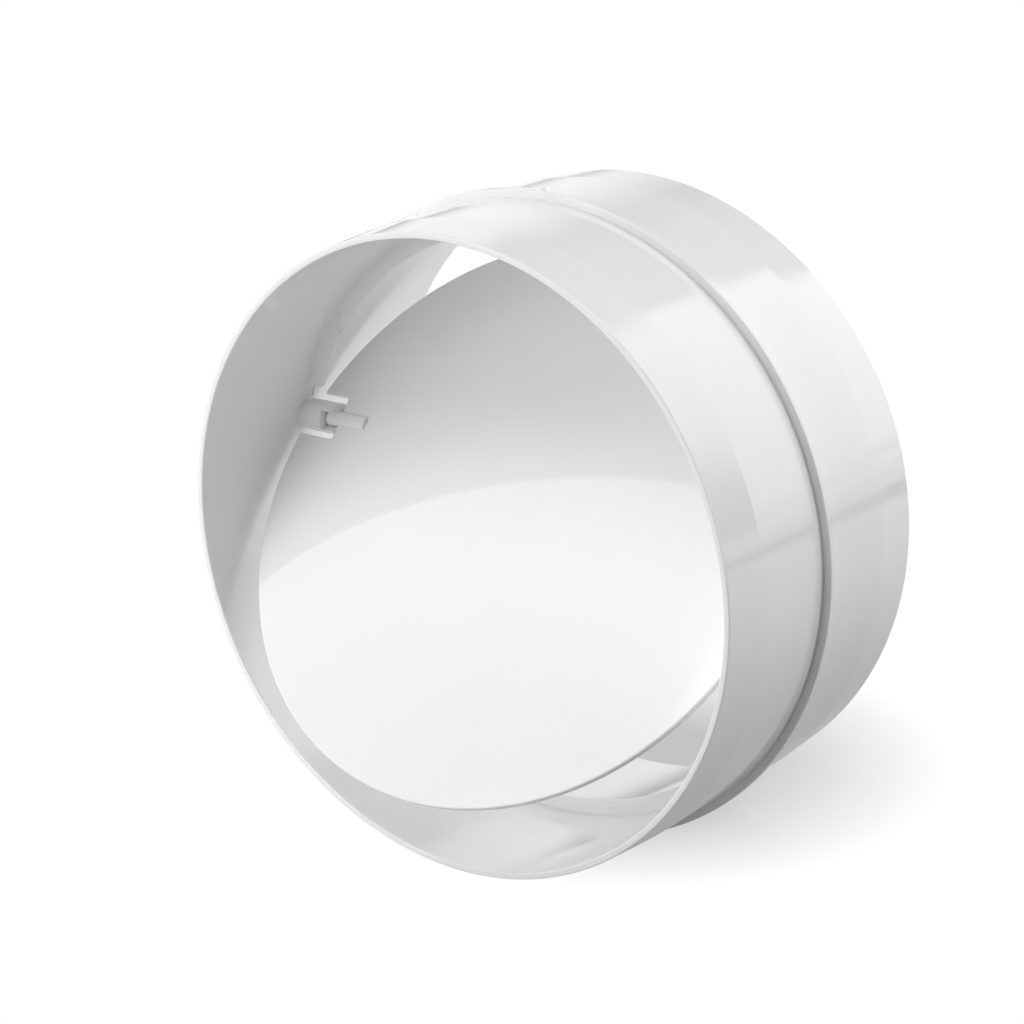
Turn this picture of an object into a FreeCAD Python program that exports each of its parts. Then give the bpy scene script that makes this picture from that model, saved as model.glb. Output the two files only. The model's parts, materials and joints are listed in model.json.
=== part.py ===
import FreeCAD, Part
import math
import os

# Duct backdraft damper: a short round connector with a flap that swings on two stub pins.
# Frame, in millimetres: X along the hinge, Y along the duct from the outlet (-Y) to the inlet (+Y), Z up.
# Origin: on the duct's axis, level with the rear shoulder of the stop bead, where the inlet duct seats.

# Spigots
duct_bore = 150.0           # inside diameter of the duct that slides over a spigot
duct_clearance = 0.2        # radial gap between duct and spigot
spigot_length = 36.0        # from the bead's shoulder to the rim, on either side
lead_in_length = 13.0       # tapered end of a spigot
lead_in_drop = 0.7          # fall of the taper, in radius
rim_wall = 1.5              # wall at the rims
rim_bevel = 0.35            # broken edges of the rims
bore_draft = 0.5            # the bore narrows by this much from a rim to the middle, in radius

# Stop bead and the gate nub on its top
bead_width = 2.0
bead_height = 1.95
bead_bevel = 0.25
gate_width = 2.7
gate_depth = 1.5
gate_height = 0.8
gate_round = 0.45

# Flap
flap_gap = 2.1              # between the flap's edge and the bore, in radius
flap_thickness = 1.6
flap_edge_bevel = 0.25
flap_setback = 0.8          # the closed flap's middle plane lies this far towards the outlet
flap_open = 39.5            # degrees from closed, as it is shown

# Stop ribs, one in front of the flap's upper part and one behind its lower part
upper_rib_overlap = 2.5     # how far the upper rib covers the flap's edge
lower_rib_overlap = 1.6     # how far the lower rib covers it
rib_thickness = 1.1
rib_clearance = 0.3         # between a rib and the closed flap
rib_root_bevel = 0.6
rib_edge_bevel = 0.25
upper_rib_lift = 8.0        # from the hinge axis up to the upper rib's ends
lower_rib_drop = 6.8        # from the hinge axis down to the lower rib's ends

# Hinge
pivot_height = 13.8         # hinge axis above the duct's axis
pin_diameter = 3.9
pin_seat = 8.0              # length of a pin that lies on the disc
pin_tip_bevel = 0.3
pin_running_gap = 0.05      # between pin and clip, in radius
pin_end_play = 0.25         # between a pin's tip and the end of its slot
clip_diameter = 7.6
clip_reach = 10.4           # from the bore to the clip's nose, on the hinge axis
slot_depth = 3.3            # length of the slot along the hinge axis
slot_throat = 3.6           # narrowest height of the slot, which the pin snaps through
slot_mouth = 5.2            # height of the slot's flared mouth, level with the front of the clip
notch_gap_x = 0.5           # between a clip's nose and the flap's notch
notch_gap_z = 1.7           # between a clip's barrel and the edges of the notch

# Places worked out from the sizes above
spigot_radius = duct_bore / 2 - duct_clearance
rim_radius = spigot_radius - lead_in_drop
bore_rim_radius = rim_radius - rim_wall
bore_radius = bore_rim_radius - bore_draft
bead_radius = spigot_radius + bead_height
front_y = -bead_width - spigot_length
rear_y = spigot_length
middle_y = -bead_width / 2
root_radius = (bore_radius + spigot_radius) / 2

flap_radius = bore_radius - flap_gap
upper_rib_radius = flap_radius - upper_rib_overlap
lower_rib_radius = flap_radius - lower_rib_overlap
pivot_y = middle_y - flap_setback
flap_front_y = pivot_y - flap_thickness / 2
flap_rear_y = pivot_y + flap_thickness / 2

pin_radius = pin_diameter / 2
bed_radius = pin_radius + pin_running_gap
clip_radius = clip_diameter / 2
clip_nose_x = math.sqrt(bore_radius ** 2 - pivot_height ** 2) - clip_reach
slot_end_x = clip_nose_x + slot_depth
pin_tip_x = slot_end_x - pin_end_play
notch_x = clip_nose_x - notch_gap_x
notch_height = clip_diameter + 2 * notch_gap_z
pin_root_x = notch_x - pin_seat

X_AXIS = FreeCAD.Vector(1, 0, 0)
Y_AXIS = FreeCAD.Vector(0, 1, 0)
ORIGIN = FreeCAD.Vector(0, 0, 0)
PIVOT = FreeCAD.Vector(0, pivot_y, pivot_height)
SAME = 1e-6                 # two places closer than this count as one


def point(y, radius):
    """A point of a section that is turned about the duct's axis."""
    return FreeCAD.Vector(0, y, radius)


def box(low, high):
    """A block between two opposite corners."""
    size = [b - a for a, b in zip(low, high)]
    return Part.makeBox(*size, FreeCAD.Vector(*low))


def turned(wire):
    """A full ring from a closed section."""
    return Part.Face(wire).revolve(ORIGIN, Y_AXIS, 360)


def edges_at(shape, places):
    """The round edges of a turned shape that lie at the given (y, radius) places."""
    found = []
    for edge in shape.Edges:
        curve = edge.Curve
        if isinstance(curve, Part.Circle):
            misses = [max(abs(curve.Center.y - y), abs(curve.Radius - r)) for y, r in places]
            if min(misses) < SAME:
                found.append(edge)
    return found


def tube():
    """Both spigots and the bead, as one turned wall."""
    section = Part.makePolygon([
        point(front_y, bore_rim_radius),
        point(front_y, rim_radius),
        point(front_y + lead_in_length, spigot_radius),
        point(-bead_width, spigot_radius),
        point(-bead_width, bead_radius),
        point(0, bead_radius),
        point(0, spigot_radius),
        point(rear_y - lead_in_length, spigot_radius),
        point(rear_y, rim_radius),
        point(rear_y, bore_rim_radius),
        point(middle_y, bore_radius),
        point(front_y, bore_rim_radius),
    ])
    wall = turned(section)
    rims = [(y, r) for y in (front_y, rear_y) for r in (rim_radius, bore_rim_radius)]
    wall = wall.makeChamfer(rim_bevel, edges_at(wall, rims))
    crown = [(y, bead_radius) for y in (-bead_width, 0)]
    return wall.makeChamfer(bead_bevel, edges_at(wall, crown))


def gate_nub():
    """The moulding's gate, broken off on top of the bead."""
    low = (-gate_width / 2, middle_y - gate_depth / 2, spigot_radius)
    high = (gate_width / 2, middle_y + gate_depth / 2, bead_radius + gate_height)
    nub = box(low, high)
    upright = [e for e in nub.Edges if abs(e.Vertexes[0].Z - e.Vertexes[1].Z) > gate_height]
    return nub.makeFillet(gate_round, upright)


def rib_ring(front, rear, radius):
    """A whole ring of rib between two planes, with sloped roots that run into the bore's wall."""
    foot_radius = bore_radius - rib_root_bevel
    spread = root_radius - foot_radius
    section = Part.makePolygon([
        point(front, radius),
        point(rear, radius),
        point(rear, foot_radius),
        point(rear + spread, root_radius),
        point(front - spread, root_radius),
        point(front, foot_radius),
        point(front, radius),
    ])
    ring = turned(section)
    return ring.makeChamfer(rib_edge_bevel, edges_at(ring, [(front, radius), (rear, radius)]))


def upper_rib():
    """The stop in front of the flap, over the top of the bore."""
    rear = flap_front_y - rib_clearance
    above = box((-duct_bore, front_y, pivot_height + upper_rib_lift), (duct_bore, rear_y, duct_bore))
    return rib_ring(rear - rib_thickness, rear, upper_rib_radius).common(above)


def lower_rib():
    """The stop behind the flap, round the bottom of the bore."""
    front = flap_rear_y + rib_clearance
    below = box((-duct_bore, front_y, -duct_bore), (duct_bore, rear_y, pivot_height - lower_rib_drop))
    return rib_ring(front, front + rib_thickness, lower_rib_radius).common(below)


def pin_slot():
    """The space that a clip keeps for its pin, open to the outlet through a throat and a flared mouth."""
    round_bed = Part.makeCylinder(bed_radius, slot_end_x, PIVOT, X_AXIS)
    throat_y = pivot_y - math.sqrt(bed_radius ** 2 - (slot_throat / 2) ** 2)
    mouth_y = pivot_y - clip_radius
    half = [(pivot_y, slot_throat / 2), (throat_y, slot_throat / 2), (mouth_y, slot_mouth / 2)]
    upper = [FreeCAD.Vector(0, y, pivot_height + rise) for y, rise in half]
    lower = [FreeCAD.Vector(0, y, pivot_height - rise) for y, rise in reversed(half)]
    mouth = Part.Face(Part.makePolygon(upper + lower + upper[:1])).extrude(slot_end_x * X_AXIS)
    return round_bed.fuse(mouth)


def clip():
    """The hinge clip on the +X side: a barrel out of the bore with a slot for the pin."""
    start = FreeCAD.Vector(clip_nose_x, pivot_y, pivot_height)
    barrel = Part.makeCylinder(clip_radius, root_radius - clip_nose_x, start, X_AXIS)
    inside = Part.makeCylinder(root_radius, rear_y - front_y, FreeCAD.Vector(0, front_y, 0), Y_AXIS)
    return barrel.cut(pin_slot()).common(inside)


def housing():
    """The whole connector, moulded as one piece."""
    right_clip = clip()
    left_clip = right_clip.mirror(ORIGIN, X_AXIS)
    return tube().fuse([gate_nub(), upper_rib(), lower_rib(), right_clip, left_clip])


def disc():
    """The flap's plate, closed, with a notch at each side where the clip stands."""
    start = FreeCAD.Vector(0, flap_front_y, 0)
    plate = Part.makeCylinder(flap_radius, flap_thickness, start, Y_AXIS)
    rims = [(flap_front_y, flap_radius), (flap_rear_y, flap_radius)]
    plate = plate.makeChamfer(flap_edge_bevel, edges_at(plate, rims))
    low = (notch_x, flap_front_y - flap_thickness, pivot_height - notch_height / 2)
    high = (duct_bore, flap_rear_y + flap_thickness, pivot_height + notch_height / 2)
    notch = box(low, high)
    return plate.cut([notch, notch.mirror(ORIGIN, X_AXIS)])


def pin():
    """The stub pin on the +X side, from its end on the disc to its bevelled tip in the clip."""
    start = FreeCAD.Vector(pin_root_x, pivot_y, pivot_height)
    rod = Part.makeCylinder(pin_radius, pin_tip_x - pin_root_x, start, X_AXIS)
    circles = [e for e in rod.Edges if isinstance(e.Curve, Part.Circle)]
    tip = [e for e in circles if abs(e.Curve.Center.x - pin_tip_x) < SAME]
    return rod.makeChamfer(pin_tip_bevel, tip)


def flap():
    """The disc and its pins, moulded as one piece and swung open as it is shown."""
    right_pin = pin()
    left_pin = right_pin.mirror(ORIGIN, X_AXIS)
    closed = disc().fuse([right_pin, left_pin])
    closed.rotate(PIVOT, -X_AXIS, flap_open)
    return closed


os.makedirs("parts", exist_ok=True)
for name, shape in (("housing", housing()), ("flap", flap())):
    shape = shape.removeSplitter()
    shape.exportStep("parts/" + name + ".step")
    size = shape.BoundBox
    print(name, "solids", len(shape.Solids), "valid", shape.isValid(), "volume", round(shape.Volume, 1))
    print("  x %.2f %.2f  y %.2f %.2f  z %.2f %.2f"
          % (size.XMin, size.XMax, size.YMin, size.YMax, size.ZMin, size.ZMax))
print("hinge at y %.2f z %.2f, flap radius %.2f, clip nose at x %.2f"
      % (pivot_y, pivot_height, flap_radius, clip_nose_x))
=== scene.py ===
# %% [markdown]
# Duct backdraft damper, dressed for its picture.
# The damper is a short white plastic connector for a round duct, with a flap hung inside it that air
# opens and gravity shuts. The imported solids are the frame: they fix every size and place.
# This script makes two finished pieces over them, the housing and the flap, and then the stage and light.

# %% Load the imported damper
import json
import math

import bmesh
import bpy
from mathutils import Matrix, Vector


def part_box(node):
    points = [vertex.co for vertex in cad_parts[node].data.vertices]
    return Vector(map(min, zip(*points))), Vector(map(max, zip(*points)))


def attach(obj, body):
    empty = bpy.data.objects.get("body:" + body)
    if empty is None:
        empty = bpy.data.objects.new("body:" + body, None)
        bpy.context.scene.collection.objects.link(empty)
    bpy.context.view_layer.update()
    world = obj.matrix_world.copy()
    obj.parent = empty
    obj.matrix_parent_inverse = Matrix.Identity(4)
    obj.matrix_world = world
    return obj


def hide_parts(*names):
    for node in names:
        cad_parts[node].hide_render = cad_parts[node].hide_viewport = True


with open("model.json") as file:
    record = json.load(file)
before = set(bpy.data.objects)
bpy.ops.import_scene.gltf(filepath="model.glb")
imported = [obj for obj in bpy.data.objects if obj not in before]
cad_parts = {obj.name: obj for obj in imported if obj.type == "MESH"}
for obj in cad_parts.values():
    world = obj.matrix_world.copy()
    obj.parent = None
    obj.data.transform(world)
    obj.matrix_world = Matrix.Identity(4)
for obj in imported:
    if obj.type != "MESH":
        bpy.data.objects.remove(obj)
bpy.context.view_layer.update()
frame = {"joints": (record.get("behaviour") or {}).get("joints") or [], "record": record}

# %% [markdown]
# The main sizes can be read from the frame: the mounts give the spigots, the joint gives the hinge, and
# the boxes of the two nodes give the rims, the bead and the flap. Reading them, rather than typing them
# again, keeps the finished pieces on the solids. The finer sizes are named where they are first used.

# %% Read the main sizes from the frame
MM = 0.001
mounts = {mount["name"]: mount for mount in frame["record"]["mounts"]}
hinge = frame["joints"][0]
housing_low, housing_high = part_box("housing")

spigot_radius = mounts["inlet_spigot"]["dims"]["r_mm"] * MM
straight_length = mounts["inlet_spigot"]["dims"]["length_mm"] * MM
bead_rear = mounts["inlet_spigot"]["pos_m"][1]
bead_front = mounts["outlet_spigot"]["pos_m"][1]
bead_radius = housing_high.x
gate_top = housing_high.z
front_y = housing_low.y
rear_y = housing_high.y
middle_y = (front_y + rear_y) / 2
pivot = Vector(hinge["pos_m"])
swing = math.radians(-hinge["range_deg"][0])
flap_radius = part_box("flap")[1].x
print("spigot radius %.2f mm, length %.1f mm" % (spigot_radius / MM, (rear_y - front_y) / MM))
print("flap radius %.2f mm, hung open by %.1f degrees" % (flap_radius / MM, math.degrees(swing)))

# %% [markdown]
# Node trees are easier to read when a node, its settings and its inputs stand on one line.
# The first helper makes one node of any tree: a value that is itself a socket is linked, any other is set.
# The other two are the small sums that materials, lamps and shapes all need.

# %% Helpers for node trees
def add_node(tree, kind, inputs=None, **settings):
    """Makes one node with its settings, and links or sets its inputs."""
    made = tree.nodes.new(kind)
    for name, value in settings.items():
        setattr(made, name, value)
    for name, value in (inputs or {}).items():
        if isinstance(value, bpy.types.NodeSocket):
            tree.links.new(value, made.inputs[name])
        else:
            made.inputs[name].default_value = value
    return made


def number(tree, operation, first, second=0.0):
    """Arithmetic on fractions and angles."""
    return add_node(tree, "ShaderNodeMath", {0: first, 1: second}, operation=operation).outputs[0]


def ranged(tree, value, low, high, new_low, new_high):
    """A value moved from one range to another, and kept inside it."""
    inputs = {"Value": value, "From Min": low, "From Max": high, "To Min": new_low, "To Max": new_high}
    return add_node(tree, "ShaderNodeMapRange", inputs, clamp=True).outputs["Result"]


# %% [markdown]
# Both pieces are moulded from glossy white ABS. A plain white would look like paint in a drawing, so the
# finish carries what a polished mould leaves: a slow waviness that bends reflections, a roughness that
# drifts from place to place, a very fine grain, and a few specks of dust.
# All of it is noise in Object coordinates, which stay with the piece when the flap swings.

# %% Patterns of the plastic
dust_cells_per_metre = 120.0
dust_share_of_cells = 0.03
dust_share_of_width = 0.022


def noise(tree, place, waves_per_metre, detail):
    """A noise texture of a given fineness."""
    inputs = {"Vector": place, "Scale": waves_per_metre, "Detail": detail}
    return add_node(tree, "ShaderNodeTexNoise", inputs).outputs["Fac"]


def dust(tree, place):
    """One where a speck of dust lies: a few cells of a Voronoi pattern, each with a dot at its middle."""
    inputs = {"Vector": place, "Scale": dust_cells_per_metre}
    cells = add_node(tree, "ShaderNodeTexVoronoi", inputs).outputs
    drawn = add_node(tree, "ShaderNodeSeparateColor", {"Color": cells["Color"]}).outputs["Red"]
    picked = number(tree, "LESS_THAN", drawn, dust_share_of_cells)
    dot = number(tree, "LESS_THAN", cells["Distance"], dust_share_of_width)
    return number(tree, "MULTIPLY", picked, dot)


# %% Values of the plastic
white = (0.88, 0.88, 0.875)
clouded_share = 0.985
dust_grey = (0.45, 0.43, 0.40, 1.0)
plastic_ior = 1.53
drift_waves, drift_detail, drift_range = 45.0, 3.0, (0.35, 0.65)
cloud_waves, cloud_detail, cloud_range = 30.0, 2.0, (0.3, 0.7)
swell_waves, swell_detail, swell_strength = 28.0, 1.0, 1.0
grain_waves, grain_detail, grain_strength = 1400.0, 2.0, 0.6
grain_height = 0.004 * MM
print("plastic of colour", white, "with a grain of %.4f mm" % (grain_height / MM))

# %% White plastic
def white_plastic(name, roughness, swell_height):
    """A glossy white ABS, with the waviness, grain and dust of a real moulding."""
    material = bpy.data.materials.new(name)
    material.use_nodes = True
    tree = material.node_tree
    shader = tree.nodes["Principled BSDF"]
    shader.inputs["IOR"].default_value = plastic_ior
    place = add_node(tree, "ShaderNodeTexCoord").outputs["Object"]

    drift = ranged(tree, noise(tree, place, drift_waves, drift_detail), *drift_range, *roughness)
    tree.links.new(drift, shader.inputs["Roughness"])

    cloud = ranged(tree, noise(tree, place, cloud_waves, cloud_detail), *cloud_range, 0.0, 1.0)
    clouded = [clouded_share * part for part in white]
    tint = {"Fac": cloud, "Color1": (*white, 1.0), "Color2": (*clouded, 1.0)}
    tinted = add_node(tree, "ShaderNodeMixRGB", tint).outputs["Color"]
    specks = {"Fac": dust(tree, place), "Color1": tinted, "Color2": dust_grey}
    dusted = add_node(tree, "ShaderNodeMixRGB", specks).outputs["Color"]
    tree.links.new(dusted, shader.inputs["Base Color"])

    swell = noise(tree, place, swell_waves, swell_detail)
    waved = {"Height": swell, "Distance": swell_height, "Strength": swell_strength}
    normal = add_node(tree, "ShaderNodeBump", waved).outputs["Normal"]
    grain = noise(tree, place, grain_waves, grain_detail)
    grained = {"Height": grain, "Distance": grain_height, "Strength": grain_strength, "Normal": normal}
    normal = add_node(tree, "ShaderNodeBump", grained).outputs["Normal"]
    tree.links.new(normal, shader.inputs["Normal"])
    return material


housing_plastic = white_plastic("white_plastic_housing", roughness=(0.06, 0.12), swell_height=0.03 * MM)
flap_plastic = white_plastic("white_plastic_flap", roughness=(0.02, 0.05), swell_height=0.02 * MM)
print("materials", housing_plastic.name, flap_plastic.name)

# %% [markdown]
# The housing's wall is a turned shape: one outline, swept round the duct's axis. Its outline has sharp
# corners on a drawing, but a mould leaves small rounds, and on glossy plastic it is these rounds that
# catch the light. So each corner gets an arc of its own radius, with one more point close on either side
# that keeps the flat next to it flat.

# %% Sizes of the wall
lead_in_drop = 0.7 * MM
rim_wall = 1.5 * MM
bore_draft = 0.5 * MM
rim_round = 0.35 * MM
bead_round = 0.25 * MM
bead_foot_round = 0.15 * MM
lead_in_round = 3.0 * MM

rim_radius = spigot_radius - lead_in_drop
bore_rim_radius = rim_radius - rim_wall
bore_radius = bore_rim_radius - bore_draft
print("rim radius %.2f mm, bore radius %.2f mm at its middle" % (rim_radius / MM, bore_radius / MM))

# %% Round the corners of an outline
ARC_STEPS = 4
SHADE_MARGIN = 0.12 * MM


def rounded(corners, margin=SHADE_MARGIN):
    """Turns the corners of a closed outline, given as (across, up, radius), into lists of points on arcs."""
    points = []
    for i, (across, up, radius) in enumerate(corners):
        here = Vector((across, up))
        if radius == 0:
            points.append([here])
            continue
        back = (Vector(corners[i - 1][:2]) - here).normalized()
        on = (Vector(corners[(i + 1) % len(corners)][:2]) - here).normalized()
        half = back.angle(on) / 2
        reach = radius / math.tan(half)
        centre = here + (back + on).normalized() * radius / math.sin(half)
        turn = math.copysign(math.pi - 2 * half, on.cross(back))
        spoke = here + back * reach - centre
        turns = [turn * step / ARC_STEPS for step in range(ARC_STEPS + 1)]
        bend = [centre + Matrix.Rotation(angle, 2) @ spoke for angle in turns]
        points.append([here + back * (reach + margin), *bend, here + on * (reach + margin)])
    return points


# %% Outline of the wall
def wall_corners():
    """Corners of the wall's outline, from the front rim's inner edge over the outside to the rear rim's."""
    return [
        (front_y, bore_rim_radius, rim_round),
        (front_y, rim_radius, rim_round),
        (bead_front - straight_length, spigot_radius, lead_in_round),
        (bead_front, spigot_radius, bead_foot_round),
        (bead_front, bead_radius, bead_round),
        (bead_rear, bead_radius, bead_round),
        (bead_rear, spigot_radius, bead_foot_round),
        (bead_rear + straight_length, spigot_radius, lead_in_round),
        (rear_y, rim_radius, rim_round),
        (rear_y, bore_rim_radius, rim_round),
        (middle_y, bore_radius, 0),
    ]


outside = [point for corner in rounded(wall_corners())[:-1] for point in corner]
print("the wall's outline has", len(outside), "points outside the bore")

# %% [markdown]
# Two stop ribs stand on the bore: one over the top, in front of the shut flap, and one round the bottom,
# behind it. They could be separate rings stuck into the wall, but then the soft fillet at their foot would
# be a hard crease. Instead the ribs belong to the wall's own grid of faces: every point of a rib's outline
# has two places, one on the plain bore and one on the rib, and a share tells which of them it takes.

# %% Outlines of the two ribs
flap_thickness = 1.6 * MM
rib_thickness = 1.1 * MM
rib_clearance = 0.3 * MM
rib_foot_round = 0.6 * MM
rib_edge_round = 0.25 * MM
upper_rib_overlap = 2.5 * MM
lower_rib_overlap = 1.6 * MM

upper_rib_radius = flap_radius - upper_rib_overlap
lower_rib_radius = flap_radius - lower_rib_overlap
upper_rib_rear = pivot.y - flap_thickness / 2 - rib_clearance
lower_rib_front = pivot.y + flap_thickness / 2 + rib_clearance
quarter_turn = [math.pi / 2 * step / ARC_STEPS for step in range(ARC_STEPS + 1)]


def bore_at(y):
    """Radius of the bore, which narrows a little towards its middle so that the moulding leaves its core."""
    return bore_radius + bore_draft * abs(y - middle_y) / (rear_y - middle_y)


def rib_outline(front, rear, radius):
    """Pairs of places, on the plain bore and on the rib, from the rib's rear foot to its front foot."""
    foot, edge = rib_foot_round, rib_edge_round
    rear_base = bore_at(rear + foot) - foot
    front_base = bore_at(front - foot) - foot
    rear_foot = [(rear + foot - foot * math.sin(t), rear_base + foot * math.cos(t)) for t in quarter_turn]
    front_foot = [(front - foot + foot * math.cos(t), front_base + foot * math.sin(t)) for t in quarter_turn]
    crown = [(rear - edge + edge * math.cos(t), radius + edge - edge * math.sin(t)) for t in quarter_turn]
    crown += [(front + edge - edge * math.sin(t), radius + edge - edge * math.cos(t)) for t in quarter_turn]
    spread = [rear + (front - rear) * (i + 1) / (len(crown) + 1) for i in range(len(crown))]
    plain = [y for y, r in rear_foot] + spread + [y for y, r in front_foot]
    return [((y, bore_at(y)), on_rib) for y, on_rib in zip(plain, rear_foot + crown + front_foot)]


upper_rib = rib_outline(upper_rib_rear - rib_thickness, upper_rib_rear, upper_rib_radius)
lower_rib = rib_outline(lower_rib_front, lower_rib_front + rib_thickness, lower_rib_radius)
print("each rib's outline has", len(upper_rib), "points")

# %% [markdown]
# The second list that the sweep needs is the stations round the duct, as clock angles from the top.
# Most are evenly spaced. Close to a rib's end there are a few more, on which its share falls from one
# to nothing: that makes the end face and its softened edge. The ends are cut level, not radially, so a
# station also knows the height of its rib's ends.

# %% Stations round the duct
upper_rib_lift = 8.0 * MM
lower_rib_drop = 6.8 * MM
STATION_STEP = math.radians(0.9)
# How far a station lies inside the rib's end, and the rib's share of its height there.
END_SHARES = ((0.30 * MM, 1.0), (0.10 * MM, 0.97), (0.0, 0.90), (-0.02 * MM, 0.0))

upper_end_z = pivot.z + upper_rib_lift
lower_end_z = pivot.z - lower_rib_drop
upper_end = math.acos(upper_end_z / bore_radius)
lower_end = math.acos(lower_end_z / bore_radius)


def evenly(start, stop):
    """Angles from start to stop, both included, about one station step apart."""
    count = max(1, round(abs(stop - start) / STATION_STEP))
    return [start + (stop - start) * i / count for i in range(count + 1)]


def right_stations():
    """(angle, upper share, lower share, how near its rib's end, that end's height) from top to bottom."""
    near = END_SHARES[0][0] / bore_radius
    past = -END_SHARES[-1][0] / bore_radius
    rows = [(a, 1.0, 0.0, a / upper_end, upper_end_z) for a in evenly(0.0, upper_end - near)[:-1]]
    for inside, share in END_SHARES:
        angle = upper_end - inside / bore_radius
        rows.append((angle, share, 0.0, min(1.0, angle / upper_end), upper_end_z))
    rows += [(a, 0.0, 0.0, 0.0, upper_end_z) for a in evenly(upper_end + past, lower_end - past)[1:-1]]
    lower_half = math.pi - lower_end
    for inside, share in reversed(END_SHARES):
        angle = lower_end + inside / bore_radius
        rows.append((angle, 0.0, share, min(1.0, (math.pi - angle) / lower_half), lower_end_z))
    lower = evenly(lower_end + near, math.pi)[1:]
    return rows + [(a, 0.0, 1.0, (math.pi - a) / lower_half, lower_end_z) for a in lower]


right = right_stations()
left = [(-a, upper, lower, -end, z) for a, upper, lower, end, z in reversed(right[1:-1])]
stations = right + left
print(len(stations), "stations, the upper rib spans %.0f degrees" % (2 * math.degrees(upper_end)))

# %% [markdown]
# A Geometry Nodes tree starts with named inputs and ends by making its instances real and setting their
# finish. Writing both ends once leaves the trees below with only what is their own. The sums on whole
# numbers and vectors, and the look-up of a value on another geometry's points, are short helpers too.

# %% Helpers for Geometry Nodes
def new_tree(name, inputs, output):
    """An empty tree with named inputs and one geometry that comes out, and the sockets of those inputs."""
    tree = bpy.data.node_groups.new(name, "GeometryNodeTree")
    for label, kind in inputs.items():
        tree.interface.new_socket(label, in_out="INPUT", socket_type="NodeSocket" + kind)
    tree.interface.new_socket(output, in_out="OUTPUT", socket_type="NodeSocketGeometry")
    return tree, add_node(tree, "NodeGroupInput").outputs


def end_tree(tree, geometry, plastic, output):
    """Makes instances real, sets their finish and hands them out."""
    real = add_node(tree, "GeometryNodeRealizeInstances", {"Geometry": geometry}).outputs["Geometry"]
    dressed = add_node(tree, "GeometryNodeSetMaterial", {"Geometry": real, "Material": plastic})
    add_node(tree, "NodeGroupOutput", {output: dressed.outputs["Geometry"]})


def looked_up(tree, geometry, name, kind, index):
    """The named value of one point of another geometry, chosen by index."""
    named = add_node(tree, "GeometryNodeInputNamedAttribute", {"Name": name}, data_type=kind)
    inputs = {"Geometry": geometry, "Value": named.outputs["Attribute"], "Index": index}
    return add_node(tree, "GeometryNodeSampleIndex", inputs, data_type=kind).outputs["Value"]


def point_count(tree, geometry):
    """How many points a geometry has."""
    return add_node(tree, "GeometryNodeAttributeDomainSize", {"Geometry": geometry}).outputs["Point Count"]


def whole(tree, operation, first, second):
    """Arithmetic on whole numbers."""
    return add_node(tree, "FunctionNodeIntegerMath", {0: first, 1: second}, operation=operation).outputs[0]


def scaled(tree, vector, factor):
    """A vector times a number."""
    inputs = {"Vector": vector, "Scale": factor}
    return add_node(tree, "ShaderNodeVectorMath", inputs, operation="SCALE").outputs["Vector"]


def added(tree, first, second):
    """The sum of two vectors."""
    return add_node(tree, "ShaderNodeVectorMath", {0: first, 1: second}, operation="ADD").outputs["Vector"]


# %% [markdown]
# Geometry Nodes now multiply the two lists. A flat grid has a row of points for each point of the outline
# and a column for each station. Every point of it looks up its outline place and its station, and moves to
# its place on the turned wall. The last row and column repeat the first ones, and merging closes the seams.

# %% Tree that turns the wall
def level_lean(tree, around, column, radius, bore):
    """Extra angle that a point needs, so that a rib's end is cut level and not along a radius."""
    level = looked_up(tree, around, "end_height", "FLOAT", column)
    inner = number(tree, "MINIMUM", radius, bore)
    level_angle = number(tree, "ARCCOSINE", number(tree, "DIVIDE", level, inner))
    bore_angle = number(tree, "ARCCOSINE", number(tree, "DIVIDE", level, bore))
    nearness = looked_up(tree, around, "nearness", "FLOAT", column)
    return number(tree, "MULTIPLY", number(tree, "SUBTRACT", level_angle, bore_angle), nearness)


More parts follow.
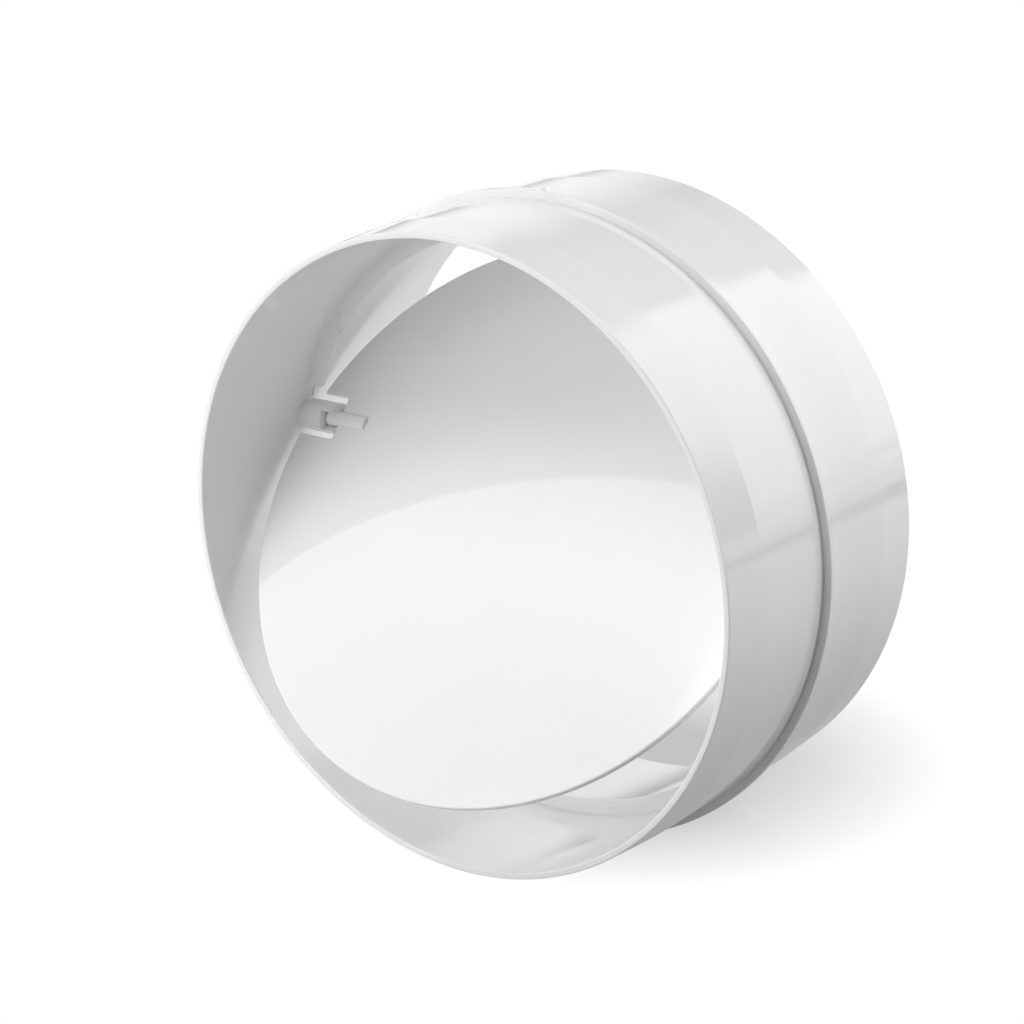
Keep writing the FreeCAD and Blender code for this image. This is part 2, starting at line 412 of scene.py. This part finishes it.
def turned_wall_tree():
    """Outline times stations, with named inputs for the stations, the bore, the merging and the finish."""
    inputs = {"Outline": "Geometry", "Stations": "Object", "Bore Radius": "Float", "Seam Width": "Float",
              "Plastic": "Material"}
    tree, given = new_tree("turned_wall", inputs, "Wall")
    outline = given["Outline"]
    around = add_node(tree, "GeometryNodeObjectInfo", {"Object": given["Stations"]}).outputs["Geometry"]
    rows, columns = point_count(tree, outline), point_count(tree, around)
    rows_more, columns_more = whole(tree, "ADD", rows, 1), whole(tree, "ADD", columns, 1)
    sheet = add_node(tree, "GeometryNodeMeshGrid", {"Vertices X": columns_more, "Vertices Y": rows_more})

    index = add_node(tree, "GeometryNodeInputIndex").outputs["Index"]
    column = whole(tree, "MODULO", whole(tree, "DIVIDE_FLOOR", index, rows_more), columns)
    row = whole(tree, "MODULO", whole(tree, "MODULO", index, rows_more), rows)
    place = looked_up(tree, outline, "position", "FLOAT_VECTOR", row)
    for rib in ("upper", "lower"):
        rise = looked_up(tree, outline, rib + "_rise", "FLOAT_VECTOR", row)
        share = looked_up(tree, around, rib + "_share", "FLOAT", column)
        place = added(tree, place, scaled(tree, rise, share))

    axes = add_node(tree, "ShaderNodeSeparateXYZ", {"Vector": place}).outputs
    radius = axes["Z"]
    lean = level_lean(tree, around, column, radius, given["Bore Radius"])
    angle = number(tree, "ADD", looked_up(tree, around, "angle", "FLOAT", column), lean)
    x = number(tree, "MULTIPLY", radius, number(tree, "SINE", angle))
    z = number(tree, "MULTIPLY", radius, number(tree, "COSINE", angle))
    turned = add_node(tree, "ShaderNodeCombineXYZ", {"X": x, "Y": axes["Y"], "Z": z}).outputs["Vector"]

    bent = add_node(tree, "GeometryNodeSetPosition", {"Geometry": sheet.outputs["Mesh"], "Position": turned})
    seams = {"Geometry": bent.outputs["Geometry"], "Distance": given["Seam Width"]}
    closed = add_node(tree, "GeometryNodeMergeByDistance", seams).outputs["Geometry"]
    end_tree(tree, closed, given["Plastic"], "Wall")
    return tree


# %% [markdown]
# A tree reads its lists from points that carry named values. It works as a modifier, and the export wants
# plain meshes, so the shape that comes out replaces the piece's own mesh and the modifier goes.
# Every closed shape made here also has its doubled points merged and its faces turned outwards.

# %% Objects and point lists
def new_object(name, mesh):
    """An object for a mesh, linked into the scene."""
    made = bpy.data.objects.new(name, mesh)
    bpy.context.scene.collection.objects.link(made)
    return made


def point_list(name, places, **values):
    """An object made of loose points that carry named values, for a tree to look up."""
    mesh = bpy.data.meshes.new(name)
    mesh.from_pydata(places, [], [])
    for label, numbers in values.items():
        vectors = isinstance(numbers[0], tuple)
        layer = mesh.attributes.new(label, "FLOAT_VECTOR" if vectors else "FLOAT", "POINT")
        flat = [part for vector in numbers for part in vector] if vectors else list(numbers)
        layer.data.foreach_set("vector" if vectors else "value", flat)
    return new_object(name, mesh)


# %% Give a piece its tree, and bake it
def give(piece, tree, values):
    """Puts a tree on a piece, with the tree's named inputs set by their identifiers."""
    modifier = piece.modifiers.new(tree.name, "NODES")
    modifier.node_group = tree
    sockets = {s.name: s.identifier for s in tree.interface.items_tree if s.in_out == "INPUT"}
    for name, value in values.items():
        modifier[sockets[name]] = value


def bake(piece):
    """Replaces a piece's mesh by its evaluated shape and takes its modifiers off."""
    graph = bpy.context.evaluated_depsgraph_get()
    mesh = bpy.data.meshes.new_from_object(piece.evaluated_get(graph))
    piece.modifiers.clear()
    piece.data = mesh
    return piece


# %% Merge points and turn faces outwards
merge_distance = 0.0001 * MM
CUBIC_METRE_IN_ML = 1e6


def face_outwards(piece):
    """Merges doubled points and turns all the faces of a closed shape outwards."""
    work = bmesh.new()
    work.from_mesh(piece.data)
    bmesh.ops.remove_doubles(work, verts=work.verts, dist=merge_distance)
    bmesh.ops.recalc_face_normals(work, faces=work.faces)
    open_edges = sum(1 for edge in work.edges if not edge.is_manifold)
    volume = work.calc_volume(signed=True) * CUBIC_METRE_IN_ML
    work.to_mesh(piece.data)
    work.free()
    faces = len(piece.data.polygons)
    print("%s: %d faces, %d open edges, %.1f ml" % (piece.name, faces, open_edges, volume))


# %% [markdown]
# With the lists and the tree in hand, the wall is made in one go: the outline is the piece that carries
# the tree, and the stations are a second object that it reads and that is removed afterwards.

# %% Bake the wall
seam_width = 0.002 * MM
NO_RISE = (0.0, 0.0, 0.0)


def rise_onto(plain, on_rib):
    """How far a point moves from the plain bore onto a rib."""
    return (0.0, on_rib[0] - plain[0], on_rib[1] - plain[1])


def outline_points(name):
    """The wall's outline as a point list, with how far each point rises onto a rib."""
    rows = [(point, NO_RISE, NO_RISE) for point in outside]
    rows += [(plain, NO_RISE, rise_onto(plain, on_rib)) for plain, on_rib in lower_rib]
    rows += [(plain, rise_onto(plain, on_rib), NO_RISE) for plain, on_rib in upper_rib]
    flat, upper_rise, lower_rise = zip(*rows)
    places = [(0.0, y, radius) for y, radius in flat]
    return point_list(name, places, upper_rise=upper_rise, lower_rise=lower_rise)


housing = outline_points("damper_housing")
angle, upper_share, lower_share, nearness, end_height = zip(*stations)
around = point_list("wall_stations", [(0, 0, 0)] * len(stations), angle=angle, upper_share=upper_share,
                    lower_share=lower_share, nearness=nearness, end_height=end_height)
give(housing, turned_wall_tree(), {"Stations": around, "Bore Radius": bore_radius,
                                   "Seam Width": seam_width, "Plastic": housing_plastic})
bake(housing)
bpy.data.objects.remove(around)
face_outwards(housing)

# %% [markdown]
# Each hinge clip is a short barrel that grows out of the bore, with a slot that the flap's pin snaps into:
# a round bed, a throat a little narrower than the pin, and a mouth that flares out to the front. It could be
# drawn face by face, but on the real mould it is a barrel with a core that leaves the slot, and a Boolean
# modifier can make it the same way. A small bevel then breaks its edges.

# %% Helpers for solids
def skin(name, rows):
    """A closed solid from stacked outlines of equal length, with flat ends."""
    work = bmesh.new()
    loops = [[work.verts.new(place) for place in row] for row in rows]
    work.faces.new(loops[0])
    work.faces.new(reversed(loops[-1]))
    for low, high in zip(loops, loops[1:]):
        for i in range(len(low)):
            work.faces.new((low[i - 1], low[i], high[i], high[i - 1]))
    mesh = bpy.data.meshes.new(name)
    work.to_mesh(mesh)
    work.free()
    made = new_object(name, mesh)
    face_outwards(made)
    return made


def prism(name, outline, place, length):
    """A closed solid: a flat outline, whose points place turns into 3-D points, pushed along by length."""
    near = [Vector(place(*point)) for point in outline]
    return skin(name, [near, [point + Vector(length) for point in near]])


def combine(piece, operation, others):
    """Adds solids to a piece or cuts them out of it, and removes them."""
    for other in others:
        modifier = piece.modifiers.new(operation.lower(), "BOOLEAN")
        modifier.operation = operation
        modifier.solver = "MANIFOLD"
        modifier.object = other
    bake(piece)
    for other in others:
        bpy.data.objects.remove(other)
    return piece


def arc(radius, start, stop, count):
    """Points on an arc about the origin, from one angle to another."""
    steps = [start + (stop - start) * i / count for i in range(count + 1)]
    return [(radius * math.cos(t), radius * math.sin(t)) for t in steps]


def mirrored(piece):
    """A copy of a piece on the other side of the damper's middle plane."""
    copy = new_object(piece.name + "_left", piece.data.copy())
    copy.data.transform(Matrix.Scale(-1, 4, Vector((1, 0, 0))))
    face_outwards(copy)
    return copy


# %% Sizes of the clips
pin_radius = 1.95 * MM
pin_running_gap = 0.05 * MM
clip_radius = 3.8 * MM
clip_reach = 10.4 * MM
clip_edge_round = 0.18 * MM
slot_depth = 3.3 * MM
slot_throat = 3.6 * MM
slot_mouth = 5.2 * MM

bed_radius = pin_radius + pin_running_gap
clip_nose = math.sqrt(bore_radius ** 2 - pivot.z ** 2) - clip_reach
slot_end = clip_nose + slot_depth
clip_root = (math.sqrt(bore_radius ** 2 - (pivot.z - clip_radius) ** 2)
             + math.sqrt(rim_radius ** 2 - (pivot.z + clip_radius) ** 2)) / 2
print("a clip reaches from %.1f to %.1f mm along the hinge" % (clip_nose / MM, clip_root / MM))

# %% Barrel with its slot
BARREL_SIDES = 64
SLOT_STEPS = 32


def on_hinge(x):
    """Places a point given as (along Y, along Z) from the hinge axis at one place along that axis."""
    def place(y, z):
        return (x, pivot.y + y, pivot.z + z)
    return place


def clip():
    """The clip on the +X side."""
    round_outline = arc(clip_radius, 0, 2 * math.pi, BARREL_SIDES)[:-1]
    barrel = prism("clip", round_outline, on_hinge(clip_nose), (clip_root - clip_nose, 0, 0))
    throat_angle = math.pi - math.asin(slot_throat / 2 / bed_radius)
    front, ahead = -clip_radius, -2 * clip_radius
    slot = arc(bed_radius, -throat_angle, throat_angle, SLOT_STEPS)
    slot += [(front, slot_mouth / 2), (ahead, slot_mouth / 2)]
    slot += [(ahead, -slot_mouth / 2), (front, -slot_mouth / 2)]
    start = clip_nose - slot_depth
    bed = prism("slot", slot, on_hinge(start), (slot_end - start, 0, 0))
    return combine(barrel, "DIFFERENCE", [bed])


# %% Both clips, with softened edges
BEVEL_STEPS = 2
BEVEL_ANGLE = math.radians(32)
FLAT_ANGLE = math.radians(1)


def soften(piece, width):
    """Rounds a piece's sharp edges by a small bevel, after joining faces that lie in one plane."""
    work = bmesh.new()
    work.from_mesh(piece.data)
    bmesh.ops.dissolve_limit(work, angle_limit=FLAT_ANGLE, verts=work.verts, edges=work.edges)
    work.to_mesh(piece.data)
    work.free()
    bevel = piece.modifiers.new("edges", "BEVEL")
    bevel.width = width
    bevel.segments = BEVEL_STEPS
    bevel.limit_method = "ANGLE"
    bevel.angle_limit = BEVEL_ANGLE
    bevel.use_clamp_overlap = True
    return bake(piece)


right_clip = soften(clip(), clip_edge_round)
face_outwards(right_clip)
left_clip = mirrored(right_clip)

# %% [markdown]
# On top of the bead sits the gate nub, where the plastic ran into the mould and was broken off. It is a
# small block with rounded corners and a rounded top. A bevelled cube would come close, but a skin over
# stacked outlines gives the corners and the top radii of their own. The flap is made the same way later.

# %% Gate nub
gate_width = 2.7 * MM
gate_depth = 1.5 * MM
gate_round = 0.55 * MM
gate_least_round = 0.1 * MM
gate_crown = 0.35 * MM
gate_foot_height = 0.5 * MM
gate_margin = 0.01 * MM


def gate_row(height, inset):
    """One outline of the nub, drawn in by an inset."""
    x, y = gate_width / 2 - inset, gate_depth / 2 - inset
    radius = max(gate_round - inset, gate_least_round)
    corners = [(-x, -y, radius), (x, -y, radius), (x, y, radius), (-x, y, radius)]
    points = [point for corner in rounded(corners, gate_margin) for point in corner]
    return [(point.x, middle_y + point.y, height) for point in points]


gate_rows = [gate_row(spigot_radius + gate_foot_height, 0)]
for t in quarter_turn:
    gate_rows.append(gate_row(gate_top - gate_crown * (1 - math.sin(t)), gate_crown * (1 - math.cos(t))))
gate = skin("gate", gate_rows)

# %% [markdown]
# The mould's ejector pins leave round marks on the upper rib's front face, each a shallow recess that runs
# out over the rib's inner edge. They repeat, so Geometry Nodes set one short cylinder on a point for each
# of them, and a Boolean then takes the cylinders out of the rib.

# %% Ejector marks
mark_radius = 3.4 * MM
mark_depth = 0.35 * MM
mark_over = 1.0 * MM
mark_inset = 0.2 * MM
mark_clock = math.radians(55)
MARK_SIDES = 72


def marks_tree():
    """A short cylinder on every point, along the duct."""
    inputs = {"Places": "Geometry", "Mark Radius": "Float", "Mark Depth": "Float", "Plastic": "Material"}
    tree, given = new_tree("ejector_marks", inputs, "Marks")
    size = {"Vertices": MARK_SIDES, "Radius": given["Mark Radius"], "Depth": given["Mark Depth"]}
    disc = add_node(tree, "GeometryNodeMeshCylinder", size).outputs["Mesh"]
    each = {"Points": given["Places"], "Instance": disc, "Rotation": (math.pi / 2, 0, 0)}
    placed = add_node(tree, "GeometryNodeInstanceOnPoints", each).outputs["Instances"]
    end_tree(tree, placed, given["Plastic"], "Marks")
    return tree


mark_y = upper_rib_rear - rib_thickness + (mark_depth - mark_over) / 2
mark_ring = upper_rib_radius - mark_inset
clocks = (-mark_clock, mark_clock)
marks = point_list("marks", [(mark_ring * math.sin(c), mark_y, mark_ring * math.cos(c)) for c in clocks])
give(marks, marks_tree(), {"Mark Radius": mark_radius, "Mark Depth": mark_depth + mark_over,
                           "Plastic": housing_plastic})
bake(marks)
face_outwards(marks)

# %% [markdown]
# Between each end of the upper rib and the clip below it, the halves of the mould met on the bore and left
# a thin slit, which shows as a short dark line. It could be painted, but a line that is cut stays dark in any
# light. So a thin curved bar is made from an arc of the bore, to be taken out of the wall with the marks.

# %% Parting slits
slit_width = 0.45 * MM
slit_depth = 0.6 * MM
slit_setback = 0.4 * MM
slit_end_gap = 0.35 * MM

slit_front = middle_y + slit_setback - slit_width / 2


def parting_slit(side):
    """The bar for the slit on one side, +1 for right and -1 for left."""
    top = math.acos((upper_end_z - slit_end_gap) / bore_radius)
    bottom = math.acos((pivot.z + clip_radius + slit_end_gap) / bore_radius)
    clocks = evenly(top, bottom)
    bar = [(bore_radius + slit_depth, clock) for clock in clocks]
    bar += [(bore_radius - slit_depth, clock) for clock in reversed(clocks)]

    def on_bore(radius, clock):
        return (side * radius * math.sin(clock), slit_front, radius * math.cos(clock))

    return prism("slit", bar, on_bore, (0, slit_width, 0))


slits = [parting_slit(side) for side in (1, -1)]

# %% [markdown]
# The real housing leaves the mould in one piece, so the clips and the nub are joined to the wall, and then
# the marks and slits are cut. They could overlap as loose shells, but a union leaves one closed skin with
# nothing hidden inside. Smooth shading runs over the rounds and stops at edges that are sharp on the object.

# %% Join the housing
SHARP_ANGLE = math.radians(35)


def shade(piece, plastic):
    """Smooth shading that stops at sharp edges, and one finish for the whole piece."""
    piece.data.shade_smooth()
    piece.data.set_sharp_from_angle(angle=SHARP_ANGLE)
    piece.data.materials.clear()
    piece.data.materials.append(plastic)
    piece.data.polygons.foreach_set("material_index", [0] * len(piece.data.polygons))


combine(housing, "UNION", [right_clip, left_clip, gate])
combine(housing, "DIFFERENCE", [marks, *slits])
face_outwards(housing)
shade(housing, housing_plastic)

# %% [markdown]
# The flap is a flat disc with a notch at each side, where the clips stand. It could be a cylinder with two
# boxes cut out, but its edge is rounded all along, in the notches too. So the disc is a skin over its own
# outline, drawn in step by step towards both faces.

# %% Sizes of the flap
flap_edge_round = 0.43 * MM
notch_gap_x = 0.5 * MM
notch_gap_z = 1.7 * MM
notch_floor_round = 0.5 * MM
notch_mouth_round = 0.3 * MM

notch_floor = clip_nose - notch_gap_x
notch_half = clip_radius + notch_gap_z
print("a notch is %.1f mm high and ends %.1f mm from the middle" % (2 * notch_half / MM, notch_floor / MM))

# %% Outline of the flap
notch_margin = 0.05 * MM
UPPER_RIM_STEPS = 146
LOWER_RIM_STEPS = 194


def rim_arc(radius, start, stop, count):
    """Points along the rim between two clock angles, without its ends."""
    clock = [start + (stop - start) * i / count for i in range(1, count)]
    return [(radius * math.sin(a), radius * math.cos(a), 0) for a in clock]


def flap_outline(inset):
    """The flap's edge as (x, z), drawn in by an inset: rim, right notch, rim and left notch."""
    radius = flap_radius - inset
    floor_x = notch_floor - inset
    top = pivot.z + notch_half + inset
    bottom = pivot.z - notch_half - inset
    upper = math.acos(top / radius)
    lower = math.acos(bottom / radius)
    notch = [(radius * math.sin(upper), top, notch_mouth_round), (floor_x, top, notch_floor_round)]
    notch += [(floor_x, bottom, notch_floor_round), (radius * math.sin(lower), bottom, notch_mouth_round)]
    corners = rim_arc(radius, -upper, upper, UPPER_RIM_STEPS) + notch
    corners += rim_arc(radius, lower, 2 * math.pi - lower, LOWER_RIM_STEPS)
    corners += [(-x, z, corner_round) for x, z, corner_round in reversed(notch)]
    return [point for corner in rounded(corners, notch_margin) for point in corner]


# %% Disc of the flap
def flap_row(inset, y):
    """One outline of the flap at a place through its thickness."""
    return [(point.x, y, point.y) for point in flap_outline(inset)]


def flap_edge():
    """(inset, distance from the middle plane) from a face of the flap over its rounded edge."""
    half, radius = flap_thickness / 2, flap_edge_round
    bend = [(radius - radius * math.sin(t), half - radius + radius * math.cos(t)) for t in quarter_turn]
    return [(radius + SHADE_MARGIN, half), *bend]


flap_rows = [flap_row(inset, pivot.y - depth) for inset, depth in flap_edge()]
flap_rows += [flap_row(inset, pivot.y + depth) for inset, depth in reversed(flap_edge())]
flap = skin("damper_flap", flap_rows)

# %% [markdown]
# A stub pin crosses each notch and runs on in the disc, standing out on both of its faces. It could be a
# plain cylinder, but its inner end is rounded and its tip is bevelled to find the slot, so it is a skin over
# circles. The flap is built shut, where its sizes are plain to see, and is then swung open about the hinge.

# %% Stub pins
pin_seat = 8.0 * MM
pin_end_play = 0.25 * MM
pin_tip_bevel = 0.3 * MM
pin_end_round = 0.2 * MM
PIN_SIDES = 48

pin_root = notch_floor - pin_seat
pin_tip = slot_end - pin_end_play


def pin_row(x, radius):
    """One circle of the pin."""
    place = on_hinge(x)
    return [place(*point) for point in arc(radius, 0, 2 * math.pi, PIN_SIDES)[:-1]]


pin_rows = [pin_row(pin_root, pin_radius - pin_end_round - SHADE_MARGIN)]
pin_rows += [pin_row(pin_root + pin_end_round * (1 - math.cos(t)),
                     pin_radius - pin_end_round * (1 - math.sin(t))) for t in quarter_turn]
pin_rows += [pin_row(pin_tip - pin_tip_bevel, pin_radius), pin_row(pin_tip, pin_radius - pin_tip_bevel)]
right_pin = skin("pin", pin_rows)
left_pin = mirrored(right_pin)
combine(flap, "UNION", [right_pin, left_pin])
swung = Matrix.Translation(pivot) @ Matrix.Rotation(-swing, 4, "X") @ Matrix.Translation(-pivot)
flap.data.transform(swung)
face_outwards(flap)
shade(flap, flap_plastic)

# %% [markdown]
# Each finished piece stands for its CAD node and rides on that node's body, so the flap swings.

# %% Hand the pieces to the frame
for piece, node in ((housing, "housing"), (flap, "flap")):
    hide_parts(node)
    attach(piece, node)
    print(piece.name, "stands for", node, "with", len(piece.data.loop_triangles), "triangles")

# %% [markdown]
# The camera stands where the photograph was taken from: to the right of the outlet and a little above.
# Its place and turn come from the rims' ellipses, which only one camera can see that way.

# %% Camera
camera_place = Vector((0.39872, -0.53851, 0.22676))
camera_right = Vector((0.7995, 0.6004, -0.0174)).normalized()
camera_forward = Vector((-0.5736, 0.7546, -0.3188)).normalized()
camera_sensor_mm = 36.0
camera_lens_mm = 108.25
camera_near = 0.01

camera_up = camera_right.cross(camera_forward)
camera_turn = Matrix((camera_right, camera_up, -camera_forward)).transposed()
camera = bpy.data.objects.new("camera", bpy.data.cameras.new("camera"))
camera.data.sensor_width = camera_sensor_mm
camera.data.lens = camera_lens_mm
camera.data.clip_start = camera_near
camera.matrix_world = Matrix.Translation(camera_place) @ camera_turn.to_4x4()
bpy.context.scene.collection.objects.link(camera)
bpy.context.scene.camera = camera
print("camera %.2f m from the damper" % camera_place.length)

# %% [markdown]
# White on white needs care. The damper stands on a white floor that fades into a white backdrop, and only a
# soft shadow shows where it touches. A floor that is simply lit until it is white would send so much light
# up that the plastic burns out. So the floor is told by Light Path how it is looked at: straight on it glows
# white outside the shadow, and near the damper it turns into a grey sheet, painted shade on which the real
# shadow falls. For bounced light it is a plain sheet, bright on the left and dark on the right, which keeps a
# dark side on the round wall. In reflections it is white with a wider painted shade of grey, and a dark strip
# far behind the damper draws a dark line on the gloss.

# %% Floor
floor_reach = 3.0
floor_z = housing_low.z
floor_corners = ((-floor_reach, -floor_reach), (floor_reach, -floor_reach),
                 (floor_reach, floor_reach), (-floor_reach, floor_reach))
floor_mesh = bpy.data.meshes.new("floor")
floor_mesh.from_pydata([(x, y, floor_z) for x, y in floor_corners], [], [(0, 1, 2, 3)])
floor = new_object("floor", floor_mesh)
print("floor at %.1f mm" % (floor_z / MM))

# %% Finish of the floor
# The grey near the damper is painted shade: a darker sheet where the damper's shadow lies, wider in
# reflections, with the lamps' real shadow on top of it.
shadow_place = (-0.005, 0.045, floor_z)
shadow_near, shadow_far = 0.02, 0.075
mirrored_shadow_near, mirrored_shadow_far = 0.08, 0.20
shadow_share = 0.75
shadow_grey = (0.50, 0.50, 0.49, 1.0)
bounce_light, bounce_dark = 0.90, 0.02
bounce_left, bounce_right = -0.04, 0.12
strip_near, strip_far, strip_blur = 0.44, 0.60, 0.02
PURE_WHITE = (1, 1, 1, 1)


def shadowed_white(tree, place, seen):
    """A white glow that gives way near the damper to a grey sheet, painted shade on which its real shadow
    also falls.
    """
    inputs = {0: place, 1: shadow_place}
    away = add_node(tree, "ShaderNodeVectorMath", inputs, operation="DISTANCE").outputs["Value"]
    near = ranged(tree, seen, 0.0, 1.0, mirrored_shadow_near, shadow_near)
    far = ranged(tree, seen, 0.0, 1.0, mirrored_shadow_far, shadow_far)
    fade = ranged(tree, away, near, far, 1.0 - shadow_share, 1.0)
    matt = add_node(tree, "ShaderNodeBsdfDiffuse", {"Color": shadow_grey}).outputs["BSDF"]
    glow = add_node(tree, "ShaderNodeEmission", {"Color": PURE_WHITE, "Strength": 1.0}).outputs["Emission"]
    return add_node(tree, "ShaderNodeMixShader", {0: fade, 1: matt, 2: glow}).outputs["Shader"]


def floor_white():
    """White to the camera and in reflections, with the damper's shadow partly painted as grey, and dimmer for
    bounced light.
    """
    material = bpy.data.materials.new("floor_white")
    material.use_nodes = True
    tree = material.node_tree
    tree.nodes.clear()
    place = add_node(tree, "ShaderNodeTexCoord").outputs["Object"]
    axes = add_node(tree, "ShaderNodeSeparateXYZ", {"Vector": place}).outputs
    rays = add_node(tree, "ShaderNodeLightPath").outputs
    seen = rays["Is Camera Ray"]

    before = ranged(tree, axes["Y"], strip_near - strip_blur, strip_near + strip_blur, 1.0, 0.0)
    behind = ranged(tree, axes["Y"], strip_far - strip_blur, strip_far + strip_blur, 0.0, 1.0)
    off_strip = number(tree, "MAXIMUM", number(tree, "ADD", before, behind), seen)
    shown = {0: off_strip, 2: shadowed_white(tree, place, seen)}
    striped = add_node(tree, "ShaderNodeMixShader", shown).outputs["Shader"]

    bounce = ranged(tree, axes["X"], bounce_left, bounce_right, bounce_light, bounce_dark)
    dim = add_node(tree, "ShaderNodeBsdfDiffuse", {"Color": bounce}).outputs["BSDF"]
    looked_at = number(tree, "MAXIMUM", seen, rays["Is Glossy Ray"])
    mixed = add_node(tree, "ShaderNodeMixShader", {0: looked_at, 1: dim, 2: striped}).outputs["Shader"]
    add_node(tree, "ShaderNodeOutputMaterial", {"Surface": mixed})
    return material


floor.data.materials.append(floor_white())
print("floor finish", floor.data.materials[0].name)

# %% [markdown]
# The backdrop is the world. To the camera it is white, as in the picture. For the plastic it is black, like
# a dark studio, because a glossy white wall takes its shape from what it doesn't mirror.

# %% World
backdrop_light = 1.0
room_light = 0.0

world = bpy.data.worlds.new("studio")
bpy.context.scene.world = world
world.use_nodes = True
sky = world.node_tree
sky.nodes.clear()
to_camera = add_node(sky, "ShaderNodeLightPath").outputs["Is Camera Ray"]
room, backdrop = [
    add_node(sky, "ShaderNodeBackground", {"Color": PURE_WHITE, "Strength": light}).outputs["Background"]
    for light in (room_light, backdrop_light)
]
both = add_node(sky, "ShaderNodeMixShader", {0: to_camera, 1: room, 2: backdrop}).outputs["Shader"]
add_node(sky, "ShaderNodeOutputWorld", {"Surface": both})
print("world", world.name, "with a backdrop of strength", backdrop_light)

# %% [markdown]
# What a glossy white object shows is mostly its lamps. One bright lamp would give a small hot spot, so
# large panels stand round the damper and softboxes lean over it, each as bright as the stretch of wall that
# mirrors it. A hard edge of a panel shows as a hard line on the wall, so some panels fade out at the edge.

# %% Places and powers of the lamps
# Name, place and size in metres, power in watts, whether it stands upright, share of it that fades out.
LAMPS = (
    ("left panel", (-1.20, 0.00, 0.33), (0.78, 0.75), 1.6, True, 0.0),
    ("back left panel", (-0.90, 0.80, 0.44), (1.04, 0.92), 3.6, True, 0.25),
    ("low back panel", (-0.18, 1.19, 0.19), (0.78, 0.52), 4.5, True, 0.15),
    ("back right panel", (0.53, 1.08, 0.59), (0.87, 1.32), 6.8, True, 0.10),
    ("right back panel", (1.11, 0.45, 0.47), (0.64, 1.10), 8.3, True, 0.0),
    ("front left panel", (-0.92, -0.77, 0.28), (0.97, 0.65), 2.9, True, 0.0),
    ("front panel", (-0.31, -1.16, 0.30), (0.75, 0.75), 5.2, True, 0.0),
    ("right fill panel", (0.98, -0.69, 0.35), (0.90, 0.80), 1.3, True, 0.0),
    ("key softbox", (-0.75, -0.61, 0.87), (0.75, 0.60), 2.8, False, 0.0),
    ("front softbox", (-0.30, -0.74, 1.02), (0.65, 0.60), 2.0, False, 0.0),
    ("top softbox", (0.14, -0.64, 1.13), (0.80, 0.60), 3.1, False, 0.0),
    ("right softbox", (0.39, 0.47, 1.15), (0.90, 0.40), 2.7, False, 0.0),
    ("back softbox", (0.00, 0.65, 1.13), (1.00, 0.40), 1.8, False, 0.0),
)
total_power = sum(power for name, place, size, power, upright, blur in LAMPS)
print(len(LAMPS), "lamps of %.1f W together" % total_power)

# %% Lamps
LAMP_MIDDLE = 0.5


def soft_edge(light, blur):
    """Lets a lamp's cloth fade out towards its edges, over a share of its width and height."""
    light.use_nodes = True
    tree = light.node_tree
    place = add_node(tree, "ShaderNodeNewGeometry").outputs["Parametric"]
    axes = add_node(tree, "ShaderNodeSeparateXYZ", {"Vector": place}).outputs
    from_edge = [number(tree, "PINGPONG", axes[axis], LAMP_MIDDLE) for axis in ("X", "Y")]
    fades = [ranged(tree, distance, 0.0, blur, 0.0, 1.0) for distance in from_edge]
    strength = number(tree, "SMOOTH_MIN", *fades)
    tree.links.new(strength, tree.nodes["Emission"].inputs["Strength"])


def softbox(name, place, size, power, upright, blur):
    """A rectangular lamp that faces the damper, upright or leaning over it."""
    light = bpy.data.lights.new(name, "AREA")
    light.shape = "RECTANGLE"
    light.size, light.size_y = size
    light.energy = power
    if blur > 0:
        soft_edge(light, blur)
    lamp = bpy.data.objects.new(name, light)
    lamp.location = place
    x, y, z = place
    facing = Vector((-x, -y, 0.0 if upright else -z))
    lamp.rotation_euler = facing.to_track_quat("-Z", "Y").to_euler()
    bpy.context.scene.collection.objects.link(lamp)


for lamp in LAMPS:
    softbox(*lamp)
bpy.context.scene.view_settings.view_transform = "Standard"
